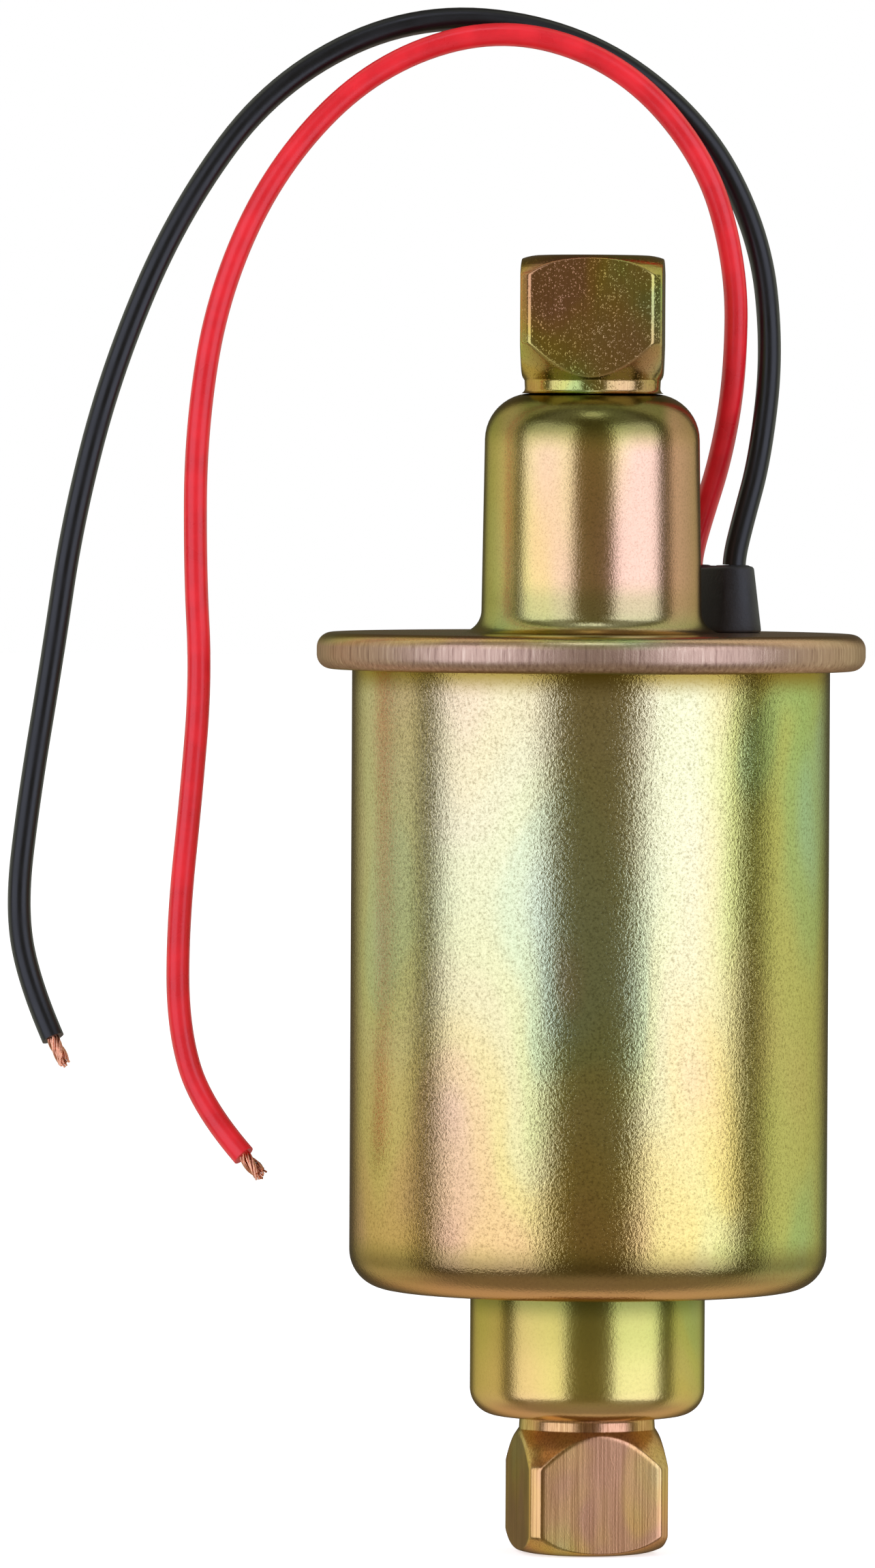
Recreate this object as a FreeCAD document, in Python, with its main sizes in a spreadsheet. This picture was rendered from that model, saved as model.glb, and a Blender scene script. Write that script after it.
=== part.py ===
"""An in-line solenoid fuel pump: a drawn steel can with a hemmed lid, a ported fitting at each end, two leads.

Z runs up the pump's axis from the inlet port's face. The fuel comes in below, passes the inlet valve and the
hollow plunger inside the plunger tube, and leaves through the dome. The coil pulls the plunger down against its
spring, and the spring drives it up again.
"""

import FreeCAD, Part
import math
import os
import Sketcher
from FreeCAD import Placement, Rotation, Vector

doc = FreeCAD.newDocument("FuelPump")
sheet = doc.addObject("Spreadsheet::Sheet", "Sizes")
NEAR = 0.005
Z_AXIS = Vector(0, 0, 1)


class Size:
    """A length that carries its value and the sheet formula that gives it."""

    def __init__(self, value, formula):
        self.value = value
        self.formula = formula

    def __add__(self, other):
        return Size(self.value + value_of(other), f"({self.formula} + {formula_of(other)})")

    def __radd__(self, other):
        return Size(value_of(other) + self.value, f"({formula_of(other)} + {self.formula})")

    def __sub__(self, other):
        return Size(self.value - value_of(other), f"({self.formula} - {formula_of(other)})")

    def __rsub__(self, other):
        return Size(value_of(other) - self.value, f"({formula_of(other)} - {self.formula})")

    def __mul__(self, other):
        return Size(self.value * value_of(other), f"({self.formula} * {formula_of(other)})")

    def __truediv__(self, other):
        return Size(self.value / value_of(other), f"({self.formula} / {formula_of(other)})")

    def __neg__(self):
        return Size(-self.value, f"(0 - {self.formula})")


def value_of(length):
    return length.value if isinstance(length, Size) else length


def formula_of(length):
    return length.formula if isinstance(length, Size) else str(length)


def size(alias, value, meaning):
    """Write one driving size in the next row of the sheet: its meaning, then its value under an alias."""
    row = len(sizes) + 1
    sheet.set(f"A{row}", meaning)
    sheet.set(f"B{row}", str(value))
    sheet.setAlias(f"B{row}", alias)
    sizes.append(alias)
    return Size(value, f"Sizes.{alias}")


sizes = []

# Drawn steel shell
wall = size("wall", 1.0, "thickness of the drawn sheet")
can_radius = size("can_radius", 26.65, "outside radius of the can")
can_corner = size("can_corner", 4.15, "outside corner radius at the can's bottom")
can_height = size("can_height", 72.2, "can bottom to flange top")
neck_radius = size("neck_radius", 13.1, "outside radius of the can's neck")
neck_corner = size("neck_corner", 2.85, "outside corner radius at the neck's floor")
neck_height = size("neck_height", 14.1, "neck floor to can bottom")
flange_width = size("flange_width", 2.85, "how far the can's flange stands out")
flange_thickness = size("flange_thickness", 2.1, "can's flange, folded double")
hem_clearance = size("hem_clearance", 0.1, "flange edge to the inside of the hem")
hem_return = size("hem_return", 1.8, "how far the hem turns back under the flange")
hem_corner = size("hem_corner", 1.45, "bevel of the hemmed rim, for its rolled edge")
dome_radius = size("dome_radius", 12.1, "outside radius of the dome")
dome_height = size("dome_height", 26.7, "lid plate to dome top")
dome_shoulder = size("dome_shoulder", 5.2, "outside radius of the dome's shoulder")
dome_root = size("dome_root", 2.5, "radius of the dome's blend into the plate")

# Port fittings
square = size("square", 15.8, "fitting across flats")
square_corner = size("square_corner", 1.06, "leg of the bevel on the square's corners")
fitting_length = size("fitting_length", 15.4, "fitting's length outside the shell")
blank_radius = size("blank_radius", 11.8, "radius of the turned envelope over the square")
end_flat = size("end_flat", 7.4, "radius of the flat on the fitting's free end")
end_bevel = size("end_bevel", 3.1, "height of the turned bevel over the square's end")
taper_start = size("taper_start", 8.0, "free end to the start of the turned taper")
collar_radius = size("collar_radius", 7.55, "radius of the collar on the shell")
collar_height = size("collar_height", 1.4, "height of the collar")
port_radius = size("port_radius", 4.3, "port bore radius, thread minor")
port_depth = size("port_depth", 10.0, "port bore depth")
passage = size("passage", 2.5, "radius of the fuel passages")
spigot_reach = size("spigot_reach", 3.0, "how far a fitting's spigot reaches into the tube")
inlet_turn = size("inlet_turn", 11.1, "turn of the inlet fitting about the axis, degrees")
outlet_turn = size("outlet_turn", 2.5, "turn of the outlet fitting about the axis, degrees")

# Leads and their grommet
lead_radius = size("lead_radius", 1.3, "radius of the insulated leads")
lead_pitch = size("lead_pitch", 7.2, "spacing of the leads in the grommet")
lead_rise = size("lead_rise", 6.0, "how far a lead stands straight up out of the boot")
lead_gap = size("lead_gap", 0.05, "gap round a lead in its hole")
strand_radius = size("strand_radius", 0.95, "radius of the bare strands")
strand_length = size("strand_length", 3.2, "length of the bare strands")
grommet_place = size("grommet_place", 18.2, "grommet centre from the axis")
grommet_turn = size("grommet_turn", 40.9, "grommet's place about the axis, degrees")
boot_height = size("boot_height", 7.6, "height of the rubber boot")
boot_base = size("boot_base", 3.05, "radius of the boot's lobes on the lid")
boot_top = size("boot_top", 2.15, "radius of the boot's lobes at its top")
waist_radius = size("waist_radius", 2.3, "radius of the grommet's waist in the lid's hole")
lip_overhang = size("lip_overhang", 0.8, "how far the grommet's lip stands past its waist")
lip_height = size("lip_height", 1.3, "height of the grommet's lip")

# Fuel tube and coil stack
tube_radius = size("tube_radius", 5.5, "outside radius of the plunger tube")
tube_wall = size("tube_wall", 0.5, "wall of the plunger tube")
spigot_gap = size("spigot_gap", 0.03, "radial gap between a spigot and the tube")
coil_gap = size("coil_gap", 0.1, "gap between the tube and the flats of what slides over it")
lower_pole_radius = size("lower_pole_radius", 23.4, "lower pole plate, axis to corner")
upper_pole_radius = size("upper_pole_radius", 17.6, "upper pole plate, axis to corner")
pole_thickness = size("pole_thickness", 3.0, "thickness of the pole plates")
bobbin_radius = size("bobbin_radius", 23.0, "bobbin flanges, axis to corner")
bobbin_height = size("bobbin_height", 44.0, "height of the bobbin")
bobbin_wall = size("bobbin_wall", 0.8, "wall of the bobbin's barrel at the corners of its bore")
bobbin_flange = size("bobbin_flange", 1.6, "thickness of the bobbin's flanges")
wire_gap = size("wire_gap", 0.1, "gap between the winding and the bobbin")
coil_build = size("coil_build", 12.6, "thickness of the winding")

# Electronics
pin_side = size("pin_side", 0.8, "side of the coil's terminal pins")
pin_place = size("pin_place", 18.6, "row of pins from the axis")
pin_pitch = size("pin_pitch", 8.0, "spacing of the pins")
pin_height = size("pin_height", 6.0, "bobbin to circuit board")
board_start = size("board_start", 11.2, "axis to the board's inner edge")
board_depth = size("board_depth", 10.2, "board's depth away from the axis")
board_width = size("board_width", 25.0, "board's width")
board_thickness = size("board_thickness", 1.6, "board's thickness")
case_width = size("case_width", 8.0, "transistor case width")
case_depth = size("case_depth", 2.8, "transistor case depth")
case_clearance = size("case_clearance", 5.6, "top of the transistor case to the lid")
part_side = size("part_side", 8.6, "parts beside the leads, from the board's middle")
resistor_side = size("resistor_side", 2.4, "resistor width and depth")
resistor_pitch = size("resistor_pitch", 4.0, "spacing of the resistors")
resistor_height = size("resistor_height", 6.5, "resistor height, standing")
diode_side = size("diode_side", 2.7, "diode width and depth")
diode_height = size("diode_height", 5.2, "diode height, standing")

# Plunger
plunger_gap = size("plunger_gap", 0.08, "running clearance of the plunger in its tube")
plunger_length = size("plunger_length", 32.0, "plunger's length")
plunger_rise = size("plunger_rise", 1.0, "top of the plunger above the bobbin, at rest")
plunger_bore = size("plunger_bore", 2.4, "radius of the plunger's bore")
spring_radius = size("spring_radius", 3.9, "mean radius of the plunger spring")
spring_wire = size("spring_wire", 0.45, "radius of the spring's wire, to its corners")
SPRING_TURNS = 5
SPRING_STEPS = 7
WIRE_SIDES = 4
pocket_radius = size("pocket_radius", 4.2, "six-sided valve pocket in the plunger's top, axis to corner")
pocket_depth = size("pocket_depth", 2.9, "depth of the valve pocket")
disc_radius = size("disc_radius", 3.4, "six-sided valve discs, axis to corner")
disc_thickness = size("disc_thickness", 0.9, "thickness of the valve discs")
seat_gap = size("seat_gap", 0.05, "film between a valve disc and its seat")
cage_thickness = size("cage_thickness", 0.9, "thickness of the plunger's valve cage")
cage_hole = size("cage_hole", 1.5, "hole in the valve cages, axis to corner")
bumper_gap = size("bumper_gap", 0.3, "plunger at rest to its bumper")
bumper_height = size("bumper_height", 2.0, "height of the bumper")
bumper_bore = size("bumper_bore", 3.6, "bore of the bumper and its stop, axis to corner")
stop_height = size("stop_height", 1.6, "height of the stop that holds the bumper")
slip_gap = size("slip_gap", 0.03, "radial gap at the corners of what is fixed in a bore")

# Inlet valve
cage_height = size("cage_height", 2.7, "height of the inlet valve's cage")
cage_wall = size("cage_wall", 0.7, "wall of the inlet valve's cage, at its corners")

# Levels up the axis
neck_floor = fitting_length
can_bottom = neck_floor + neck_height
flange_top = can_bottom + can_height
lid_under = flange_top
lid_top = lid_under + wall
dome_top = lid_top + dome_height
port_top = dome_top + fitting_length
tube_bottom = neck_floor + wall
tube_top = dome_top - wall
stack_floor = can_bottom + wall
bobbin_floor = stack_floor + pole_thickness
bobbin_top = bobbin_floor + bobbin_height
board_floor = bobbin_top + pin_height
board_top = board_floor + board_thickness
case_height = lid_under - board_top - case_clearance
boot_level = lid_top + boot_height
seat_top = tube_bottom + spigot_reach
cage_top = seat_top + cage_height
plunger_top = bobbin_top + plunger_rise
plunger_bottom = plunger_top - plunger_length
spring_rest = plunger_bottom - cage_top
bumper_floor = plunger_top + bumper_gap
stop_floor = bumper_floor + bumper_height

# Radii that follow from others
can_inside = can_radius - wall
flange_radius = can_radius + flange_width
hem_inside = flange_radius + hem_clearance
hem_radius = hem_inside + wall
dome_inside = dome_radius - wall
tube_inside = tube_radius - tube_wall
spigot_radius = tube_inside - spigot_gap
fitted_radius = tube_inside - slip_gap
plunger_radius = tube_inside - plunger_gap
tube_hole = (tube_radius + coil_gap) / round(math.cos(math.pi / 8), 6)
barrel_radius = tube_hole + bobbin_wall
winding_radius = barrel_radius + wire_gap


def origin_plane(body, role):
    """The body's own origin plane with this role."""
    for feature in body.Origin.OriginFeatures:
        if feature.Role == role:
            return feature
    raise RuntimeError(f"{body.Label} has no {role}")


def new_sketch(body, name, role, height=0):
    """A sketch on one of the body's origin planes, lifted off it by a height."""
    sketch = body.newObject("Sketcher::SketchObject", name)
    sketch.AttachmentSupport = (origin_plane(body, role), "")
    sketch.MapMode = "FlatFace"
    sketch.AttachmentOffset = Placement(Vector(0, 0, value_of(height)), Rotation())
    if isinstance(height, Size):
        sketch.setExpression("AttachmentOffset.Base.z", height.formula)
    return sketch


def tie(sketch, kind, datum, *places):
    """Add one sketch dimension and bind it to its size."""
    index = sketch.addConstraint(Sketcher.Constraint(kind, *places, value_of(datum)))
    if isinstance(datum, Size):
        sketch.setExpression(f"Constraints[{index}]", datum.formula)


def pin_point(sketch, item, point, across, up):
    """Hold a sketch point at its distances from the origin, or on an axis where one is nought."""
    for kind, axis, datum in (("DistanceX", -2, across), ("DistanceY", -1, up)):
        if abs(value_of(datum)) > 1e-6:
            tie(sketch, kind, datum, -1, 1, item, point)
        else:
            sketch.addConstraint(Sketcher.Constraint("PointOnObject", item, point, axis))


def polygon(sketch, corners):
    """Draw a closed outline of straight lines with each corner held at its two sizes."""
    first = sketch.GeometryCount
    places = [Vector(value_of(across), value_of(up), 0) for across, up in corners]
    places.append(places[0])
    sketch.addGeometry([Part.LineSegment(start, end) for start, end in zip(places, places[1:])])
    count = len(corners)
    for index, (across, up) in enumerate(corners):
        following = (index + 1) % count
        sketch.addConstraint(Sketcher.Constraint("Coincident", first + index, 2, first + following, 1))
        pin_point(sketch, first + index, 1, across, up)


def circle(sketch, across, up, radius):
    """Draw one circle with its centre and radius held."""
    centre = Vector(value_of(across), value_of(up), 0)
    index = sketch.addGeometry(Part.Circle(centre, Z_AXIS, value_of(radius)))
    pin_point(sketch, index, 3, across, up)
    tie(sketch, "Radius", radius, index)


def stadium(sketch, across, reach, radius):
    """Draw two half circles, above and below the middle, joined by straight sides."""
    middle, half, width = value_of(across), value_of(reach), value_of(radius)
    top = Part.ArcOfCircle(Part.Circle(Vector(middle, half, 0), Z_AXIS, width), 0, math.pi)
    bottom = Part.ArcOfCircle(Part.Circle(Vector(middle, -half, 0), Z_AXIS, width), math.pi, 2 * math.pi)
    left = Part.LineSegment(Vector(middle - width, half, 0), Vector(middle - width, -half, 0))
    right = Part.LineSegment(Vector(middle + width, -half, 0), Vector(middle + width, half, 0))
    sketch.addGeometry([top, left, bottom, right])
    for first, second in ((0, 1), (1, 2), (2, 3), (3, 0)):
        sketch.addConstraint(Sketcher.Constraint("Tangent", first, 2, second, 1))
    sketch.addConstraint(Sketcher.Constraint("Equal", 0, 2))
    pin_point(sketch, 0, 3, across, reach)
    pin_point(sketch, 2, 3, across, -reach)
    tie(sketch, "Radius", radius, 0)


def new_body(name):
    body = doc.addObject("PartDesign::Body", name)
    body.Label = name
    return body


def turned(name, outline):
    """A body turned about Z from the closed outline of its half section, in radius and height."""
    body = new_body(name)
    sketch = new_sketch(body, f"{name}_section", "XZ_Plane")
    polygon(sketch, outline)
    turn = body.newObject("PartDesign::Revolution", f"{name}_turn")
    turn.Profile = sketch
    turn.ReferenceAxis = (sketch, ["V_Axis"])
    turn.Angle = 360
    return body


def padded(body, name, sketch, height):
    """Pad a sketch upwards."""
    pad = body.newObject("PartDesign::Pad", name)
    pad.Profile = sketch
    pad.setExpression("Length", formula_of(height))
    return pad


def pocketed(body, name, sketch, depth):
    """Cut a sketch downwards."""
    pocket = body.newObject("PartDesign::Pocket", name)
    pocket.Profile = sketch
    pocket.setExpression("Length", formula_of(depth))
    return pocket


def stepped(across, up, side, level, radius, steps):
    """A rounded corner in short straight steps, from its upright side to its level side.

    Side and level are 1 or -1: which side of the rounding's centre the corner lies on. Steps keep the mesh light.
    """
    points = []
    for step in range(steps + 1):
        angle = math.pi / 2 * step / steps
        inward = side * round(1 - math.cos(angle), 6)
        back = level * round(1 - math.sin(angle), 6)
        points.append((across - radius * inward, up - radius * back))
    return points


def regular(sketch, sides, radius, across=0, up=0):
    """Draw a regular outline by its middle and its corners' distance from there, a flat side to the right."""
    corners = []
    for side in range(sides):
        angle = 2 * math.pi * (side + 0.5) / sides
        corners.append((across + radius * round(math.cos(angle), 6), up + radius * round(math.sin(angle), 6)))
    polygon(sketch, corners)


def plate(name, radius, height, level, hole=None, sides=6):
    """A flat-sided plate at its level, with a flat-sided hole where it has one."""
    body = new_body(name)
    outline = new_sketch(body, f"{name}_outline", "XY_Plane")
    regular(outline, sides, radius)
    if hole:
        regular(outline, sides, hole)
    padded(body, f"{name}_height", outline, height)
    seat(body, level)


def seat(piece, height=0, turn=0):
    """Place a sub-part up the axis and turn it about the axis."""
    piece.Placement = Placement(Vector(0, 0, value_of(height)), Rotation(Z_AXIS, value_of(turn)))
    if isinstance(height, Size):
        piece.setExpression("Placement.Base.z", height.formula)
    if isinstance(turn, Size):
        piece.setExpression("Placement.Rotation.Angle", turn.formula)


def ring(name, inside, outside, height, level):
    """A plain round ring at its level."""
    body = turned(name, [(inside, 0), (outside, 0), (outside, height), (inside, height)])
    seat(body, level)
    return body


# Can: neck, body and flange drawn from one blank
def make_can():
    neck_inside = neck_radius - wall
    flange_level = neck_height + can_height
    neck_bevel = neck_corner * 0.35
    can_bevel = can_corner * 0.36
    can = turned("can", [
        (spigot_radius, 0),
        *reversed(stepped(neck_radius, 0, 1, -1, neck_corner, 3)),
        (neck_radius, neck_height),
        *reversed(stepped(can_radius, neck_height, 1, -1, can_corner, 3)),
        (can_radius, flange_level - flange_thickness),
        (flange_radius, flange_level - flange_thickness),
        (flange_radius, flange_level),
        (can_inside, flange_level),
        (can_inside, neck_height + wall + can_bevel),
        (can_inside - can_bevel, neck_height + wall),
        (neck_inside, neck_height + wall),
        (neck_inside, wall + neck_bevel),
        (neck_inside - neck_bevel, wall),
        (spigot_radius, wall),
    ])
    seat(can, neck_floor)


# Lid: dome and plate drawn from one blank, rim hemmed round the can's flange
def make_lid():
    hem_under = -flange_thickness
    hem_bottom = hem_under - wall
    hem_edge = hem_inside - hem_return
    inner_bevel = dome_shoulder * 0.34
    top = wall + dome_height
    lid = turned("lid", [
        (dome_inside, 0),
        (dome_inside, dome_height - inner_bevel),
        (dome_inside - inner_bevel, dome_height),
        (spigot_radius, dome_height),
        (spigot_radius, top),
        *reversed(stepped(dome_radius, top, 1, 1, dome_shoulder, 4)),
        *stepped(dome_radius, wall, -1, -1, dome_root, 3),
        (hem_radius - hem_corner, wall),
        (hem_radius, wall - hem_corner),
        (hem_radius, hem_bottom + hem_corner),
        (hem_radius - hem_corner, hem_bottom),
        (hem_edge, hem_bottom),
        (hem_edge, hem_under),
        (hem_inside, hem_under),
        (hem_inside, 0),
    ])
    hole = new_sketch(lid, "grommet_hole_outline", "XY_Plane", wall)
    stadium(hole, grommet_place, lead_pitch / 2, waist_radius)
    pocketed(lid, "grommet_hole", hole, wall)
    seat(lid, lid_under, grommet_turn)


# Port fittings: square bar, turned at both ends, bored, and brazed where the spigot passes through the shell
def make_fitting(name, level, turn, upside_down):
    """One fitting, standing on its free end or hanging from it."""
    half = square / 2
    edge = half - square_corner
    bar = new_body(f"{name}_bar")
    bar_outline = new_sketch(bar, f"{name}_bar_outline", "XY_Plane")
    polygon(bar_outline, [
        (half, -edge), (half, edge), (edge, half), (-edge, half),
        (-half, edge), (-half, -edge), (-edge, -half), (edge, -half),
    ])
    full_length = fitting_length + wall + spigot_reach
    padded(bar, f"{name}_bar_length", bar_outline, full_length)
    turning = turned(f"{name}_turning", [
        (port_radius, 0),
        (end_flat, 0),
        (blank_radius, end_bevel),
        (blank_radius, taper_start),
        (collar_radius, fitting_length - collar_height),
        (collar_radius, fitting_length),
        (spigot_radius, fitting_length),
        (spigot_radius, full_length),
        (passage, full_length),
        (passage, port_depth),
        (port_radius, port_depth),
    ])
    fitting = doc.addObject("Part::MultiCommon", name)
    fitting.Label = name
    fitting.Shapes = [bar, turning]
    flip = Rotation(Vector(1, 0, 0), 180) if upside_down else Rotation()
    spin = Rotation(Z_AXIS, value_of(turn))
    fitting.Placement = Placement(Vector(0, 0, value_of(level)), spin * flip)
    if isinstance(level, Size):
        fitting.setExpression("Placement.Base.z", level.formula)
    return fitting


# Grommet: boot on the lid, waist in its hole and lip under it, moulded in one
def make_grommet():
    half = lead_pitch / 2
    grommet = new_body("lead_grommet")
    lip = new_sketch(grommet, "grommet_lip_outline", "XY_Plane", -(wall + lip_height))
    reach = waist_radius + lip_overhang
    near, far = grommet_place - reach, grommet_place + reach
    end = half + reach
    polygon(lip, [(near, -end), (far, -end), (far, end), (near, end)])
    padded(grommet, "grommet_lip", lip, lip_height)
    waist = new_sketch(grommet, "grommet_waist_outline", "XY_Plane", -wall)
    stadium(waist, grommet_place, half, waist_radius)
    padded(grommet, "grommet_waist", waist, wall)
    foot = new_sketch(grommet, "grommet_foot_outline", "XY_Plane")
    stadium(foot, grommet_place, half, boot_base)
    head = new_sketch(grommet, "grommet_head_outline", "XY_Plane", boot_height)
    stadium(head, grommet_place, half, boot_top)
    boot = grommet.newObject("PartDesign::AdditiveLoft", "grommet_boot")
    boot.Profile = foot
    boot.Sections = [head]
    boot.Ruled = True
    bores = new_sketch(grommet, "grommet_bore_outline", "XY_Plane", boot_height)
    for side in (-half, half):
        regular(bores, 6, lead_radius + lead_gap, grommet_place, side)
    pocketed(grommet, "grommet_bores", bores, boot_height + wall + lip_height)
    seat(grommet, lid_top, grommet_turn)


# Leads: soft copper in plastic, from the circuit board up through the grommet and round to their bare ends
def grommet_point(side, height):
    """A point in line with one of the grommet's bores."""
    turn = Rotation(Z_AXIS, grommet_turn.value)
    return turn.multVec(Vector(grommet_place.value, side.value, height.value))


def six_sided(name, radius, height, placement):
    """A six-sided prism, axis to corner, standing at a placement."""
    prism = doc.addObject("Part::Prism", name)
    prism.Label = name
    prism.Polygon = 6
    prism.setExpression("Circumradius", radius.formula)
    prism.setExpression("Height", height.formula)
    prism.Placement = placement
    return prism


def lead_path(name, points):
    """Straight runs joined by tangent arcs as large as the runs allow."""
    edges = []
    radii = []
    start = points[0]
    for before, corner, after in zip(points, points[1:], points[2:]):
        arriving = (corner - before).normalize()
        leaving = (after - corner).normalize()
        turn = arriving.getAngle(leaving)
        shorter = min(corner.distanceToPoint(before), corner.distanceToPoint(after))
        setback = 0.45 * shorter
        radius = setback / math.tan(turn / 2)
        arc_start = corner - arriving * setback
        arc_end = corner + leaving * setback
        inward = (leaving - arriving).normalize()
        centre = corner + inward * (radius / math.cos(turn / 2))
        middle = centre - inward * radius
        edges.append(Part.LineSegment(start, arc_start).toShape())
        edges.append(Part.Arc(arc_start, middle, arc_end).toShape())
        radii.append(radius)
        start = arc_end
    edges.append(Part.LineSegment(start, points[-1]).toShape())
    wire = Part.Wire(edges)
    print(f"{name}: length {wire.Length:.1f}, radii " + " ".join(f"{radius:.0f}" for radius in radii))
    return wire


def make_lead(name, side, points):
    """A lead's tail inside the pump, its free length swept six-sided along its path, and its bare strands."""
    in_the_bore = Rotation(Z_AXIS, grommet_turn.value + 30)
    six_sided(f"{name}_tail", lead_radius, boot_level - board_top,
              Placement(grommet_point(side, board_top), in_the_bore))
    upright = [grommet_point(side, boot_level), grommet_point(side, boot_level + lead_rise)]
    points = upright + [Vector(across, deep, boot_level.value + up) for across, deep, up in points]
    wire = lead_path(name, points)
    path = doc.addObject("Part::Feature", f"{name}_path")
    path.Shape = wire
    section = doc.addObject("Part::RegularPolygon", f"{name}_section")
    section.Polygon = 6
    section.setExpression("Circumradius", f"{lead_radius.formula} * 1.05")
    section.Placement = Placement(points[0], Rotation(Z_AXIS, points[1] - points[0]))
    lead = doc.addObject("Part::Sweep", name)
    lead.Label = name
    lead.Sections = [section]
    lead.Spine = (path, [f"Edge{index}" for index in range(1, len(wire.Edges) + 1)])
    lead.Solid = True
    end_turn = Rotation(Z_AXIS, points[-1] - points[-2])
    six_sided(f"{name}_strands", strand_radius, strand_length, Placement(points[-1], end_turn))
    doc.recompute()
    expected = 1.5 * math.sqrt(3) * (lead_radius.value * 1.05) ** 2 * wire.Length
    print(f"{name}: volume over section times length {lead.Shape.Volume / expected:.4f}")


def make_leads():
    make_lead("black_lead", -lead_pitch / 2, [
        (18.1, 9.8, 12.9), (20.6, 10.6, 24.2), (19.0, 11.2, 37.2), (12.0, 11.3, 50.0), (-1.5, 10.6, 59.7),
        (-19.5, 8.6, 61.9), (-35.6, 6.2, 54.0), (-46.3, 4.0, 39.2), (-53.6, 2.4, 21.7),
        (-57.9, 1.2, 4.7), (-60.1, 0.3, -10.8), (-62.6, -0.6, -26.3), (-64.0, -1.0, -38.8),
        (-62.3, -1.0, -47.3), (-59.6, -0.6, -53.1),
    ])
    make_lead("red_lead", lead_pitch / 2, [
        (13.5, 13.0, 13.2), (15.9, 10.0, 20.7), (16.2, 8.0, 33.2), (12.6, 7.0, 45.7), (3.0, 7.0, 56.3),
        (-10.5, 6.2, 60.3), (-24.5, 4.6, 55.7), (-35.3, 2.8, 44.5), (-41.8, 1.2, 30.2),
        (-44.2, 0.2, 14.7), (-44.2, -0.4, -0.8), (-43.5, -0.7, -12.8), (-44.5, -0.6, -25.8),
        (-45.9, -0.6, -39.8), (-45.9, -0.4, -51.8), (-43.2, -0.2, -60.7), (-38.3, 0.0, -66.1),
    ])


# Coil stack: bobbin and winding between two pole plates, the upper one staked on the tube
def make_coil_stack():
    ring("plunger_tube", tube_inside, tube_radius, tube_top - tube_bottom, tube_bottom)
    plate("lower_pole_plate", lower_pole_radius, pole_thickness, stack_floor, tube_hole, 8)
    plate("upper_pole_plate", upper_pole_radius, pole_thickness, bobbin_top, tube_hole, 8)
    bobbin = new_body("coil_bobbin")
    foot = new_sketch(bobbin, "bobbin_foot_outline", "XY_Plane")
    regular(foot, 8, bobbin_radius)
    padded(bobbin, "bobbin_foot", foot, bobbin_flange)
    barrel = new_sketch(bobbin, "bobbin_barrel_outline", "XY_Plane", bobbin_flange)
    regular(barrel, 12, barrel_radius)
    padded(bobbin, "bobbin_barrel", barrel, bobbin_height - bobbin_flange * 2)
    head = new_sketch(bobbin, "bobbin_head_outline", "XY_Plane", bobbin_height - bobbin_flange)
    regular(head, 8, bobbin_radius)
    padded(bobbin, "bobbin_head", head, bobbin_flange)
    bore = new_sketch(bobbin, "bobbin_bore_outline", "XY_Plane", bobbin_height)
    regular(bore, 8, tube_hole)
    pocketed(bobbin, "bobbin_bore", bore, bobbin_height)
    seat(bobbin, bobbin_floor)
    winding = bobbin_height - bobbin_flange * 2 - wire_gap * 2
    plate("drive_coil", winding_radius + coil_build, winding, bobbin_floor + bobbin_flange + wire_gap,
          winding_radius, 12)


# Electronics: a board on the coil's pins, with a switching transistor and its small parts
def block(name, level, middle, sides):
    """A box on the board's side of the pump, with its middle and three sides bound to sizes."""
    body = new_body(name)
    outline = new_sketch(body, f"{name}_outline", "XY_Plane")
    across, along = middle
    depth, width, height = sides
    near, far = across - depth / 2, across + depth / 2
    left, right = along - width / 2, along + width / 2
    polygon(outline, [(near, left), (far, left), (far, right), (near, right)])
    padded(body, f"{name}_height", outline, height)
    seat(body, level, grommet_turn)
    return body


def group(name, pieces):
    """Several like pieces as one sub-part of separate solids."""
    together = doc.addObject("Part::Compound", name)
    together.Label = name
    together.Links = pieces


def make_electronics():
    middle = board_start + board_depth / 2
    axis = pin_pitch * 0
    block("circuit_board", board_floor, (middle, axis), (board_depth, board_width, board_thickness))
    pin = (pin_side, pin_side, pin_height)
    places = enumerate((-pin_pitch, axis, pin_pitch))
    group("coil_terminals", [block(f"pin_{index}", bobbin_top, (pin_place, along), pin) for index, along in places])
    block("power_transistor", board_top, (middle, -part_side), (case_width, case_depth, case_height))
    resistor = (resistor_side, resistor_side, resistor_height)
    places = enumerate((middle - resistor_pitch / 2, middle + resistor_pitch / 2))
    group("resistors", [block(f"resistor_{index}", board_top, (across, part_side), resistor)
                        for index, across in places])
    block("flyback_diode", board_top, (board_start + diode_side, axis), (diode_side, diode_side, diode_height))


# Plunger: a hollow steel slug with a valve disc under a cage in its top, and the bumper and stop over it
def make_plunger():
    floor = plunger_length - pocket_depth
    plunger = ring("plunger", plunger_bore, plunger_radius, plunger_length, plunger_bottom)
    pocket = new_sketch(plunger, "valve_pocket_outline", "XY_Plane", plunger_length)
    regular(pocket, 6, pocket_radius)
    pocketed(plunger, "valve_pocket", pocket, pocket_depth)
    plate("plunger_valve_disc", disc_radius, disc_thickness, plunger_bottom + floor + seat_gap)
    plate("plunger_valve_cage", pocket_radius - slip_gap, cage_thickness, plunger_top - cage_thickness, cage_hole)
    plate("plunger_bumper", fitted_radius, bumper_height, bumper_floor, bumper_bore)
    plate("plunger_stop", fitted_radius, stop_height, stop_floor, bumper_bore)


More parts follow.
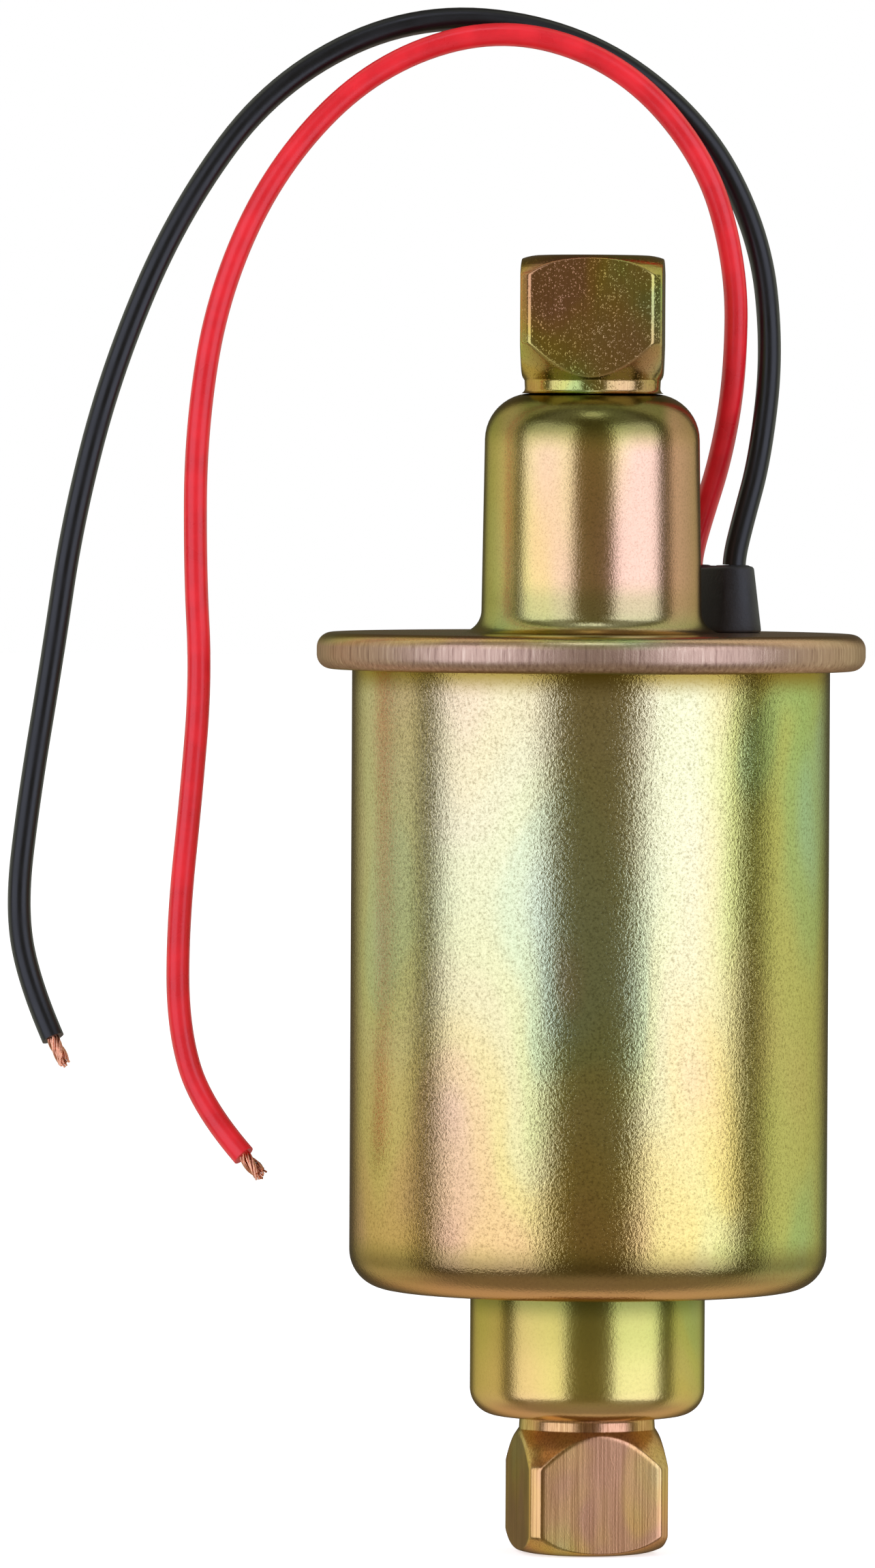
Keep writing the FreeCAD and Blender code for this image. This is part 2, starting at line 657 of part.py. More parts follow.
def make_spring():
    """The plunger spring: a four-sided wire lofted round its turns, between the cage and the plunger."""
    wire = spring_wire.value
    rise = (spring_rest.value - 2 * wire) / (SPRING_TURNS * SPRING_STEPS)
    sections = []
    for step in range(SPRING_TURNS * SPRING_STEPS + 1):
        turn = Rotation(Z_AXIS, 360 / SPRING_STEPS * step)
        corners = []
        for side in range(WIRE_SIDES + 1):
            angle = 2 * math.pi * side / WIRE_SIDES
            across = spring_radius.value + wire * math.cos(angle)
            up = cage_top.value + wire + rise * step + wire * math.sin(angle)
            corners.append(turn.multVec(Vector(across, 0, up)))
        sections.append(Part.makePolygon(corners))
    spring = doc.addObject("Part::Feature", "plunger_spring")
    spring.Label = "plunger_spring"
    spring.Shape = Part.makeLoft(sections, True, True)


# Inlet valve: a loose six-sided disc on the inlet spigot's end, under a six-sided cage in the tube
def make_inlet_valve():
    plate("inlet_valve_disc", disc_radius, disc_thickness, seat_top + seat_gap)
    cage = new_body("inlet_valve_cage")
    sides = new_sketch(cage, "cage_side_outline", "XY_Plane")
    regular(sides, 6, fitted_radius)
    regular(sides, 6, fitted_radius - cage_wall)
    padded(cage, "cage_sides", sides, cage_height - cage_wall)
    top = new_sketch(cage, "cage_top_outline", "XY_Plane", cage_height - cage_wall)
    regular(top, 6, fitted_radius)
    regular(top, 6, cage_hole)
    padded(cage, "cage_top", top, cage_wall)
    seat(cage, seat_top)


make_can()
make_lid()
group("port_fittings", [
    make_fitting("inlet_fitting", 0, inlet_turn, False),
    make_fitting("outlet_fitting", port_top, -outlet_turn, True),
])
make_grommet()
make_leads()
make_coil_stack()
make_electronics()
make_plunger()
make_spring()
make_inlet_valve()
doc.recompute()

SUB_PARTS = [
    "can", "lid", "port_fittings", "lead_grommet",
    "black_lead", "red_lead", "black_lead_strands", "red_lead_strands", "black_lead_tail", "red_lead_tail",
    "plunger_tube", "lower_pole_plate", "upper_pole_plate", "coil_bobbin", "drive_coil",
    "circuit_board", "coil_terminals", "power_transistor", "resistors", "flyback_diode",
    "plunger", "plunger_spring", "plunger_valve_disc", "plunger_valve_cage", "plunger_bumper", "plunger_stop",
    "inlet_valve_disc", "inlet_valve_cage",
]

for item in doc.Objects:
    if "Invalid" in item.State or "Error" in item.State:
        raise RuntimeError(f"{item.Name} did not compute: {item.State}")
os.makedirs("parts", exist_ok=True)
for name in SUB_PARTS:
    shape = doc.getObjectsByLabel(name)[0].Shape
    if shape.isNull() or not shape.isValid() or not shape.Solids:
        raise RuntimeError(f"{name} is not a valid solid")
for name in SUB_PARTS:
    doc.getObjectsByLabel(name)[0].Shape.exportStep(os.path.join("parts", f"{name}.step"))
print(f"{len(SUB_PARTS)} sub-parts, {port_top.value:.1f} mm from port to port")
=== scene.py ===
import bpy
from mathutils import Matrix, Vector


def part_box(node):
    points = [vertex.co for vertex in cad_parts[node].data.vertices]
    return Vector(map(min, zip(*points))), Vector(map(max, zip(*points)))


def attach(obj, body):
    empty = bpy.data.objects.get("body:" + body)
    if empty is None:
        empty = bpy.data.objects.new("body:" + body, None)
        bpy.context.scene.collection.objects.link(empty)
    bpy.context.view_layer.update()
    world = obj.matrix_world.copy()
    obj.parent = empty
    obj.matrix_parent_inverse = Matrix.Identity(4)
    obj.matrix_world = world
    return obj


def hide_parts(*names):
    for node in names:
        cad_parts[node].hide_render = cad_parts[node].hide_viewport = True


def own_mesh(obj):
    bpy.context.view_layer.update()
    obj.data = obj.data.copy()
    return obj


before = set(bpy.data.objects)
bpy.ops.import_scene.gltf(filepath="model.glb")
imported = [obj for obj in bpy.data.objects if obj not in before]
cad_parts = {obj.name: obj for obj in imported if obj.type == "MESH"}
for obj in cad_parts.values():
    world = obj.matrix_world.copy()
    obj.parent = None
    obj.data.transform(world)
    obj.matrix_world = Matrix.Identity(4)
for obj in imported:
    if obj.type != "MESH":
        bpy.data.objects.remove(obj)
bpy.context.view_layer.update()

import math

import bmesh
import bpy
import numpy as np
from mathutils import Matrix, Vector

MM = 0.001


# Zinc plating
# Every steel part outside is zinc plated and dipped in yellow chromate, which leaves a thin film of
# gold, green and pink that drifts with the film's thickness over the shape.
def node_in(tree, kind, links=None, **settings):
    """A new node with its settings, each input linked to a socket or set to a value."""
    node = tree.nodes.new(kind)
    for name, value in settings.items():
        setattr(node, name, value)
    for name, value in (links or {}).items():
        socket = node.inputs[name]
        if isinstance(value, bpy.types.NodeSocket):
            tree.links.new(value, socket)
        else:
            socket.default_value = value
    return node


def maths(tree, operation, *values):
    links = dict(enumerate(values))
    return node_in(tree, "ShaderNodeMath", links, operation=operation).outputs[0]


def span(tree, value, low, high, start=0.0, end=1.0, kind="LINEAR"):
    """The value's way from low to high, put out as start to end and no further."""
    links = {"Value": value, "From Min": low, "From Max": high, "To Min": start, "To Max": end}
    return node_in(tree, "ShaderNodeMapRange", links, interpolation_type=kind).outputs[0]


def along_direction(tree, place, direction):
    links = {0: place, 1: direction}
    return node_in(tree, "ShaderNodeVectorMath", links, operation="DOT_PRODUCT").outputs["Value"]


def noise(tree, place, scale, detail, roughness=0.5):
    links = {"Vector": place, "Scale": scale, "Detail": detail, "Roughness": roughness}
    return node_in(tree, "ShaderNodeTexNoise", links).outputs["Fac"]


def stretched_noise(tree, place, scales, scale=1.0, detail=3.0, roughness=0.7):
    """Noise drawn out into streaks, the scales being those along X, Y and Z."""
    mapped = node_in(tree, "ShaderNodeMapping", {"Vector": place, "Scale": scales}).outputs[0]
    return noise(tree, mapped, scale, detail, roughness)


def bump(tree, height, distance, strength=1.0, under=None):
    """Relief of a height in metres, laid on another relief where one is given."""
    links = {"Height": height, "Distance": distance, "Strength": strength}
    if under is not None:
        links["Normal"] = under
    return node_in(tree, "ShaderNodeBump", links).outputs["Normal"]


def mixed(tree, share, under, over, how="MIX"):
    """Two colours mixed, the share being that of the one laid over."""
    links = {"Factor": share, "A": under, "B": over}
    return node_in(tree, "ShaderNodeMix", links, data_type="RGBA", blend_type=how).outputs["Result"]


def grey(value):
    return (value, value, value)


def ramp(tree, factor, stops, interpolation="EASE"):
    node = node_in(tree, "ShaderNodeValToRGB", {"Fac": factor})
    node.color_ramp.interpolation = interpolation
    elements = node.color_ramp.elements
    while len(elements) < len(stops):
        elements.new(0.5)
    for element, (place, colour) in zip(elements, stops):
        element.position = place
        element.color = (*colour, 1)
    return node.outputs["Color"]


def new_group(name, inputs, outputs, kind="ShaderNodeTree"):
    """A node group with inputs of label, kind and first value, and outputs of label and kind."""
    group = bpy.data.node_groups.new(name, kind)
    for label, socket_kind, *first in inputs:
        socket = group.interface.new_socket(label, in_out="INPUT", socket_type=f"NodeSocket{socket_kind}")
        if first:
            socket.default_value = first[0]
    for label, socket_kind in outputs:
        group.interface.new_socket(label, in_out="OUTPUT", socket_type=f"NodeSocket{socket_kind}")
    return group, group.nodes.new("NodeGroupInput").outputs, group.nodes.new("NodeGroupOutput").inputs


def new_material(name, **plain):
    """A material, its tree and its Object coordinates, with plain values on its shader."""
    material = bpy.data.materials.new(name)
    material.use_nodes = True
    tree = material.node_tree
    for label, value in plain.items():
        tree.nodes["Principled BSDF"].inputs[label.replace("_", " ")].default_value = value
    return material, tree, node_in(tree, "ShaderNodeTexCoord").outputs["Object"]


def dress(tree, colour, roughness, normal):
    """Feed a material's shader with its colour, roughness and relief."""
    inputs = tree.nodes["Principled BSDF"].inputs
    tree.links.new(colour, inputs["Base Color"])
    tree.links.new(roughness, inputs["Roughness"])
    tree.links.new(normal, inputs["Normal"])


film, film_in, film_out = new_group("chromate film", [
    ("Vector", "Vector"),
    ("Patch Size", "Float", 0.02),
    ("Upright Stretch", "Float", 2.0),
    ("Shift", "Float", 0.0),
    ("Level", "Float", 0.0),
    ("Drift", "Vector", (0.0, 0.0, 0.0)),
    ("Pink", "Float", 0.5),
    ("Pink Drift", "Vector", (0.0, 0.0, 0.0)),
    ("Paleness", "Float", 0.0),
], [("Colour", "Color")])
squeeze = maths(film, "DIVIDE", 1.0, film_in["Upright Stretch"])
squeezed = node_in(film, "ShaderNodeCombineXYZ", {"X": 1.0, "Y": 1.0, "Z": squeeze}).outputs[0]
film_place = node_in(film, "ShaderNodeVectorMath", {
    0: film_in["Vector"], 1: squeezed,
}, operation="MULTIPLY").outputs[0]
film_scale = maths(film, "DIVIDE", 1.0, film_in["Patch Size"])


def film_patches(shift, detail, roughness):
    """One layer of broad patches, picked by its shift."""
    return node_in(film, "ShaderNodeTexNoise", {
        "Vector": film_place, "Scale": film_scale, "Detail": detail, "Roughness": roughness,
        "W": shift, "Distortion": 0.3,
    }, noise_dimensions="4D").outputs["Fac"]


film_swing = maths(film, "MULTIPLY_ADD", film_patches(film_in["Shift"], 2.0, 0.45), 1.4, -0.2)
film_slope = along_direction(film, film_in["Vector"], film_in["Drift"])
film_level = maths(film, "ADD", film_slope, film_in["Level"])
film_colour = ramp(film, maths(film, "ADD", film_swing, film_level), [
    (0.22, (0.56, 0.32, 0.18)), (0.32, (0.62, 0.40, 0.14)), (0.42, (0.61, 0.48, 0.13)),
    (0.50, (0.58, 0.52, 0.18)), (0.57, (0.54, 0.56, 0.17)), (0.64, (0.43, 0.57, 0.22)),
    (0.74, (0.40, 0.60, 0.36)), (0.86, (0.60, 0.46, 0.32)),
])
pink_patches = film_patches(maths(film, "ADD", film_in["Shift"], 7.3), 1.0, 0.4)
pink_slope = along_direction(film, film_in["Vector"], film_in["Pink Drift"])
pink_mask = span(film, maths(film, "ADD", pink_patches, pink_slope), 0.44, 0.70, kind="SMOOTHSTEP")
pink_share = maths(film, "MULTIPLY", pink_mask, film_in["Pink"])
film_colour = mixed(film, pink_share, film_colour, (0.63, 0.36, 0.26, 1))
film_colour = mixed(film, film_in["Paleness"], film_colour, (0.66, 0.62, 0.48, 1))
film.links.new(film_colour, film_out["Colour"])

grain, grain_in, grain_out = new_group("drawn sheet grain", [
    ("Vector", "Vector"),
    ("Grain Size", "Float", 0.0003),
    ("Shine", "Float", 0.3),
    ("Unevenness", "Float", 0.1),
], [("Roughness", "Float"), ("Height", "Float"), ("Sand", "Color")])
fine_grain = noise(grain, grain_in["Vector"], maths(grain, "DIVIDE", 1.0, grain_in["Grain Size"]), 2.0, 0.8)
broad_sway = maths(grain, "SUBTRACT", noise(grain, grain_in["Vector"], 160.0, 3.0, 0.6), 0.5)
grain_rough = maths(grain, "MULTIPLY_ADD", broad_sway, grain_in["Unevenness"], grain_in["Shine"])
grain_sand = ramp(grain, fine_grain, [
    (0.32, (0.50, 0.48, 0.42)), (0.50, (0.86, 0.86, 0.84)), (0.66, grey(1.0)),
])
grain.links.new(grain_rough, grain_out["Roughness"])
grain.links.new(fine_grain, grain_out["Height"])
grain.links.new(grain_sand, grain_out["Sand"])


def plated(name, film_look, sheet_look, relief_height):
    """A plating's material, tree and place, with the outputs of its film, its sheet and its relief."""
    material, tree, place = new_material(name, Metallic=1.0, Specular_Tint=(0.80, 0.72, 0.52, 1))
    colours = node_in(tree, "ShaderNodeGroup", {"Vector": place, **film_look}, node_tree=film).outputs
    surface = node_in(tree, "ShaderNodeGroup", {"Vector": place, **sheet_look}, node_tree=grain).outputs
    return material, tree, place, colours["Colour"], surface, bump(tree, surface["Height"], relief_height)


# Can
# A cup drawn from one sheet of steel: a narrow neck below, a round corner, a straight side and a flange
# folded double on top, all turned about the axis. Its surface has the sandy grain of deep drawing.
sheet = 1.0
spigot_radius = 4.97
neck_radius = 13.1
neck_floor = 15.4
can_radius = 26.65
can_bottom = 29.5
flange_radius = 29.5
flange_under = 99.6
lid_under = 101.7
shell_sides = 192
bend_step = 0.13
turning_radius = 1000


def rounded(corners):
    """The closed outline through corners of (radius, height, rounding), in millimetres."""
    points = []
    for index, (across, up, bend) in enumerate(corners):
        here = Vector((across, up))
        before = Vector(corners[index - 1][:2]) - here
        after = Vector(corners[(index + 1) % len(corners)][:2]) - here
        if bend == 0:
            points.append(here)
            continue
        opening = before.angle(after)
        reach = bend / math.tan(opening / 2)
        start = here + before.normalized() * reach
        end = here + after.normalized() * reach
        inward = (before.normalized() + after.normalized()).normalized()
        middle = here + inward * (bend / math.sin(opening / 2))
        swept = (start - middle).angle_signed(end - middle)
        steps = max(3, math.ceil(abs(swept) / bend_step))
        for step in range(steps + 1):
            arm = start - middle
            arm.rotate(Matrix.Rotation(-swept * step / steps, 2))
            points.append(middle + arm)
    return points


turner, turner_in, turner_out = new_group("turn about the axis", [
    ("Outline", "Geometry"), ("Sides", "Int"), ("Finish", "Material"),
], [("Turned", "Geometry")], "GeometryNodeTree")
outline = node_in(turner, "GeometryNodeMeshToCurve", {"Mesh": turner_in["Outline"]})
path = node_in(turner, "GeometryNodeCurvePrimitiveCircle", {
    "Resolution": turner_in["Sides"], "Radius": turning_radius * MM,
})
swept = node_in(turner, "GeometryNodeCurveToMesh", {
    "Curve": path.outputs["Curve"], "Profile Curve": outline.outputs["Curve"],
})
whole = node_in(turner, "GeometryNodeRealizeInstances", {"Geometry": swept.outputs["Mesh"]})
finished = node_in(turner, "GeometryNodeSetMaterial", {
    "Geometry": whole.outputs["Geometry"], "Material": turner_in["Finish"],
})
turner.links.new(finished.outputs["Geometry"], turner_out["Turned"])


def made_plain(name, maker, tree, values):
    """The plain mesh that a tree makes from a maker object, as a new object at the origin."""
    modifier = maker.modifiers.new("tree", "NODES")
    modifier.node_group = tree
    for item in tree.interface.items_tree:
        if item.in_out == "INPUT" and item.name in values:
            modifier[item.identifier] = values[item.name]
    bpy.context.view_layer.update()
    seen = maker.evaluated_get(bpy.context.evaluated_depsgraph_get())
    mesh = bpy.data.meshes.new_from_object(seen)
    bpy.data.objects.remove(maker)
    piece = bpy.data.objects.new(name, mesh)
    mesh.name = name
    bpy.context.scene.collection.objects.link(piece)
    return piece


def loose(name, points, edges=(), faces=()):
    mesh = bpy.data.meshes.new(name)
    mesh.from_pydata(points, edges, faces)
    holder = bpy.data.objects.new(name, mesh)
    bpy.context.scene.collection.objects.link(holder)
    return holder


def smooth(piece, angle=40):
    """Outward faces, smooth but for edges sharper than the angle."""
    work = bmesh.new()
    work.from_mesh(piece.data)
    bmesh.ops.remove_doubles(work, verts=work.verts, dist=1e-7)
    bmesh.ops.recalc_face_normals(work, faces=work.faces)
    work.to_mesh(piece.data)
    work.free()
    piece.data.shade_smooth()
    piece.data.set_sharp_from_angle(angle=math.radians(angle))


def turned(name, corners, sides, finish):
    """A turned piece: its outline is swept along the turning circle, and so measured from that circle."""
    points = rounded(corners)
    count = len(points)
    places = [((point.x - turning_radius) * MM, -point.y * MM, 0) for point in points]
    outline = loose(f"{name} outline", places, [(index, (index + 1) % count) for index in range(count)])
    piece = made_plain(name, outline, turner, {"Sides": sides, "Finish": finish})
    smooth(piece)
    return piece


can_finish, tree, place, film_tone, surface, relief = plated("can plating", {
    "Patch Size": 0.022, "Upright Stretch": 2.4, "Shift": 3.1, "Drift": (7.0, 0.0, 0.0),
    "Pink": 0.15, "Pink Drift": (-1.5, 0.0, 1.0),
}, {"Grain Size": 0.00032, "Shine": 0.13, "Unevenness": 0.06}, 0.000040)
spot = node_in(tree, "ShaderNodeSeparateXYZ", {"Vector": place}).outputs
height = spot["Z"]

# The film is pinker low down and greener high up. Higher up it is painted paler, but not on the can's right,
# as a painted highlight where the soft boxes shine on the can.
level = ramp(tree, span(tree, height, 0.0, 0.1), [
    (0.15, grey(0.41)), (0.29, grey(0.43)), (0.35, grey(0.44)), (0.50, grey(0.48)),
    (0.65, grey(0.51)), (0.85, grey(0.51)), (0.98, grey(0.46)),
])
painted_highlight_paleness = span(tree, spot["X"], 0.0110, 0.0165, 0.50, -0.10)
film_inputs = film_tone.node.inputs
tree.links.new(maths(tree, "SUBTRACT", level, 0.5), film_inputs["Level"])
tree.links.new(span(tree, height, 0.030, 0.080, 0.0, painted_highlight_paleness), film_inputs["Paleness"])

# The sandy grain is strong on the can's side, and the neck below it is smoother but duller.
side_start, side_full = 0.0280, 0.0310
coarse = span(tree, height, side_start, side_full, 0.4, 1.0)
duller = span(tree, height, side_start, side_full, 0.09, 0.0)
tree.links.new(coarse, relief.node.inputs["Strength"])
toned = mixed(tree, maths(tree, "MULTIPLY", coarse, 0.8), film_tone, surface["Sand"], "MULTIPLY")

# Painted shade darkens the film under the rim, round the can's bottom corner and up the neck under the can's
# bottom; the bottom corner and the neck's lower corner are also browner in colour.
painted_shade_under_rim = span(tree, height, 0.0955, 0.0986, 0.0, 0.95, "SMOOTHSTEP")
toned = mixed(tree, painted_shade_under_rim, toned, (0.26, 0.18, 0.03, 1))
# Round the can's bottom corner the film is browner, and darker still as painted shade.
corner = span(tree, height, 0.0293, 0.0365)
corner_tint_and_painted_shade_share = ramp(tree, corner, [
    (0.00, grey(0.0)), (0.03, grey(0.85)), (0.55, grey(0.75)), (1.00, grey(0.0)),
])
corner_tint_and_painted_shade = ramp(tree, corner, [
    (0.10, (0.60, 0.36, 0.18)), (0.35, (0.36, 0.23, 0.10)), (0.52, (0.16, 0.11, 0.04)),
    (0.80, (0.26, 0.20, 0.06)),
])
toned = mixed(tree, corner_tint_and_painted_shade_share, toned, corner_tint_and_painted_shade)
neck_corner = span(tree, height, 0.0195, 0.0160, 0.0, 0.8, "SMOOTHSTEP")
toned = mixed(tree, neck_corner, toned, (0.60, 0.37, 0.19, 1))
# Painted shade darkens the neck up towards the can's bottom above it.
up_the_neck = span(tree, height, 0.0160, 0.0300)
painted_shade_neck_share = ramp(tree, up_the_neck, [
    (0.00, grey(0.0)), (0.25, grey(0.40)), (0.70, grey(0.55)), (0.93, grey(0.85)), (0.97, grey(0.0)),
])
painted_shade_neck_tone = ramp(tree, up_the_neck, [
    (0.30, (0.46, 0.36, 0.10)), (0.70, (0.32, 0.28, 0.06)), (0.92, (0.13, 0.14, 0.03)),
])
toned = mixed(tree, painted_shade_neck_share, toned, painted_shade_neck_tone)
dress(tree, toned, maths(tree, "ADD", duller, surface["Roughness"]), relief)

can = turned("drawn_can", [
    (spigot_radius, neck_floor, 0), (neck_radius, neck_floor, 3.0), (neck_radius, can_bottom, 0.5),
    (can_radius, can_bottom, 4.3), (can_radius, flange_under, 0.5), (flange_radius, flange_under, 0),
    (flange_radius, lid_under, 0), (can_radius - sheet, lid_under, 0),
    (can_radius - sheet, can_bottom + sheet, 3.3), (neck_radius - sheet, can_bottom + sheet, 0.5),
    (neck_radius - sheet, neck_floor + sheet, 2.0), (spigot_radius, neck_floor + sheet, 0),
], shell_sides, can_finish)
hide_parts("can")
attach(can, "housing")

# Lid
# A dome and plate drawn from one sheet. Its edge is hemmed round the can's flange, and the hemming
# wheel leaves the rim bullnosed and finely brushed up and down.
lid_top = 102.7
dome_top = 129.4
dome_radius = 11.9
dome_foot = 12.3
rim_radius = 30.6
rim_under = 98.6
hem_lip = 27.8
hem_hollow = 29.6
lid_finish, tree, place, toned, surface, relief = plated("lid plating", {
    "Patch Size": 0.016, "Upright Stretch": 2.2, "Shift": 5.2, "Level": -0.03, "Drift": (4.0, 0.0, 0.0),
    "Pink": 0.9, "Pink Drift": (20.0, 0.0, 0.0), "Paleness": 0.10,
}, {"Grain Size": 0.00024, "Shine": 0.19, "Unevenness": 0.08}, 0.000020)
spot = node_in(tree, "ShaderNodeSeparateXYZ", {"Vector": place}).outputs

# The dome carries painted shade at its foot and shoulder, and its flanks are browner and pinker, with painted
# shade on their outer edges.
up_the_dome = span(tree, spot["Z"], 0.1028, 0.1294)
painted_shade_dome_share = ramp(tree, up_the_dome, [
    (0.00, grey(0.0)), (0.03, grey(0.75)), (0.12, grey(0.55)), (0.24, grey(0.0)),
    (0.74, grey(0.0)), (0.86, grey(0.90)), (1.00, grey(0.90)),
])
painted_shade_dome_tone = ramp(tree, up_the_dome, [
    (0.00, (0.30, 0.33, 0.13)), (0.40, (0.30, 0.28, 0.08)), (0.76, (0.36, 0.31, 0.07)),
    (0.88, (0.13, 0.13, 0.03)),
])
toned = mixed(tree, painted_shade_dome_share, toned, painted_shade_dome_tone)
# Browner and pinker film on the dome's flanks, darkened as painted shade towards their outer edges.
across_dome = span(tree, spot["X"], -0.0121, 0.0121)
flank_tint_and_painted_shade_share = ramp(tree, across_dome, [
    (0.00, grey(0.7)), (0.12, grey(0.45)), (0.22, grey(0.0)),
    (0.80, grey(0.0)), (0.88, grey(0.6)), (1.00, grey(0.75)),
])
flank_tint_and_painted_shade = ramp(tree, across_dome, [
    (0.03, (0.30, 0.29, 0.08)), (0.12, (0.52, 0.36, 0.16)), (0.85, (0.56, 0.30, 0.20)),
    (0.97, (0.42, 0.24, 0.15)),
])
on_dome = span(tree, spot["Z"], 0.1030, 0.1060)
toned = mixed(tree, maths(tree, "MULTIPLY", flank_tint_and_painted_shade_share, on_dome), toned, flank_tint_and_painted_shade)
toned = mixed(tree, 0.45, toned, surface["Sand"], "MULTIPLY")

# The rim is pinker, duller and brushed.
outward = node_in(tree, "ShaderNodeCombineXYZ", {"X": spot["X"], "Y": spot["Y"]}).outputs[0]
outward = node_in(tree, "ShaderNodeVectorMath", {0: outward}, operation="LENGTH").outputs["Value"]
rolled_in = span(tree, spot["Z"], 0.1024, 0.1012)
on_rim = maths(tree, "MULTIPLY", span(tree, outward, 0.0290, 0.0300, kind="SMOOTHSTEP"), rolled_in)
brushing = stretched_noise(tree, place, (2600.0, 2600.0, 160.0))
rim_tone = ramp(tree, brushing, [
    (0.30, (0.30, 0.19, 0.14)), (0.50, (0.46, 0.31, 0.23)), (0.70, (0.60, 0.44, 0.33)),
])
brushed = bump(tree, maths(tree, "MULTIPLY", brushing, on_rim), 0.00002, 0.8, relief)
dress(tree, mixed(tree, on_rim, toned, rim_tone),
      maths(tree, "MULTIPLY_ADD", on_rim, 0.24, surface["Roughness"]), brushed)

lid = turned("domed_lid", [
    (spigot_radius, dome_top, 0), (dome_radius, dome_top, 5.2), (dome_foot, lid_top, 2.5),
    (rim_radius, lid_top, 1.7), (rim_radius, rim_under, 1.6), (hem_lip, rim_under, 0.3),
    (hem_lip, flange_under, 0.2), (hem_hollow, flange_under, 0.2), (hem_hollow, lid_under, 0.2),
    (dome_foot - sheet, lid_under, 2.4), (dome_radius - sheet, dome_top - sheet, 4.2),
    (spigot_radius, dome_top - sheet, 0),
], shell_sides, lid_finish)
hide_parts("lid")
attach(lid, "housing")

# Port fittings
# Square bar turned at both ends: a domed end face with the threaded port, a taper down to the collar, and
# a spigot that is brazed into the shell. The flats keep the fine upright streaks of the drawn bar.
half_square = 7.9
corner_leg = 1.06
bevel_blend = 0.26
turning_blend = 0.20
fitting_height = 15.4
face_flat = 5.8
face_round = 6.0
collar_round = 0.55
collar_centre = 8.1
spigot_end = 19.4
passage_radius = 2.5
port_radius = 4.3
port_depth = 10.0
thread_pitch = 0.94
thread_height = 0.55
thread_run_out = 1.2
ring_step = 0.17
spigot_step = 0.8
bore_step = 0.12

# Corners of the outline, each as its reach from the axis and its height over the end face.
mouth_edge = (5.2, 0.0)
turned_side = [(11.8, 5.5), (11.8, 8.0), (10.45, 9.9), (7.9, 13.5), (7.6, 13.95)]
spigot_side = [(spigot_radius, fitting_height), (spigot_radius, spigot_end),
               (passage_radius, spigot_end), (passage_radius, port_depth + 0.9)]
bore_side = [(passage_radius + 0.4, port_depth + 0.4), (port_radius, port_depth), (port_radius, 0.85)]
mouth_bevel = [(port_radius + 0.1, 0.7), (5.1, 0.06)]


def soft_least(one, two, blend):
    """The lesser of two sizes, with the edge between them rounded off."""
    share = np.clip(0.5 + 0.5 * (two - one) / blend, 0, 1)
    return two * (1 - share) + one * share - blend * share * (1 - share)


def square_reach(angle):
    """How far the bevelled square reaches from its axis in each direction."""
    flat = half_square / np.maximum(np.abs(np.cos(angle)), np.abs(np.sin(angle)))
    across = (2 * half_square - corner_leg) / math.sqrt(2)
    from_corner = angle % (math.pi / 2) - math.pi / 4
    return soft_least(flat, across / np.cos(from_corner), bevel_blend)


def walked(points, step):
    """Points evenly along an open outline, its corners kept."""
    places = [points[0]]
    for start, end in zip(np.array(points[:-1]), np.array(points[1:])):
        count = max(1, math.ceil(math.dist(start, end) / step))
        places += [tuple(start + (end - start) * (i + 1) / count) for i in range(count)]
    return places


def fitting(name, level, turn, upside_down, finish):
    """A fitting whose rings of points follow its outline from the port's mouth round and back to it."""
    face = [(face_flat + face_round * math.sin(a), face_round - face_round * math.cos(a))
            for a in np.radians(np.arange(0, 76, 5))]
    root = [(collar_centre - collar_round * math.cos(a), fitting_height - collar_round * (1 - math.sin(a)))
            for a in np.radians(range(0, 91, 15))]
    outside = walked([mouth_edge] + face + turned_side + root, ring_step)
    spigot = walked(spigot_side, spigot_step)
    rows = np.array(outside + spigot + walked(bore_side, bore_step) + walked(mouth_bevel, bore_step))

    # Degrees from the middle of a flat: wide steps over the flat, narrow ones over its bevelled corner.
    quarter = np.concatenate([
        np.linspace(-40.0, 40.0, 60), np.linspace(40.3, 41.6, 8), np.linspace(42.2, 47.8, 6),
        np.linspace(48.4, 49.7, 8),
    ])
    angles = np.radians(np.concatenate([quarter + 90 * side for side in range(4)]))
    shape = (len(rows), len(angles))
    reach = np.broadcast_to(rows[:, :1], shape)
    height = np.broadcast_to(rows[:, 1:], shape)
    squared = soft_least(reach, np.broadcast_to(square_reach(angles), shape), turning_blend)
    inner = np.arange(len(rows)) >= len(outside)
    radius = np.where(inner[:, None], reach, squared)

    # The thread is a ridge on the bore's wall, flat on its crest, that fades out inwards.
    turns = (height / thread_pitch - angles / (2 * math.pi)) % 1.0
    ridge = thread_height * np.clip(1.15 - 2.3 * np.abs(turns - 0.5), 0.0, 1.0)
    fading = np.clip(1 - height / port_depth, 0.2, 1) ** 0.3
    on_wall = (reach > port_radius - 0.01) & (reach < port_radius + 0.5)
    threaded = on_wall & (height < port_depth - thread_run_out)
    threaded[:len(outside) + len(spigot)] = False
    radius = radius + np.where(threaded, ridge * fading, 0.0)

    if upside_down:
        height = -height
        angles = -angles
    angles = angles + math.radians(turn)
    points = np.stack([radius * np.cos(angles), radius * np.sin(angles), height + level], -1)
    places = np.arange(len(rows) * len(angles)).reshape(shape)
    above = np.roll(places, -1, axis=0)
    faces = np.stack([places, np.roll(places, -1, axis=1), np.roll(above, -1, axis=1), above], -1)
    piece = loose(name, (points.reshape(-1, 3) * MM).tolist(), faces=faces.reshape(-1, 4).tolist())
    piece.data.materials.append(finish)
    smooth(piece, 50)
    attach(piece, "housing")
    return piece


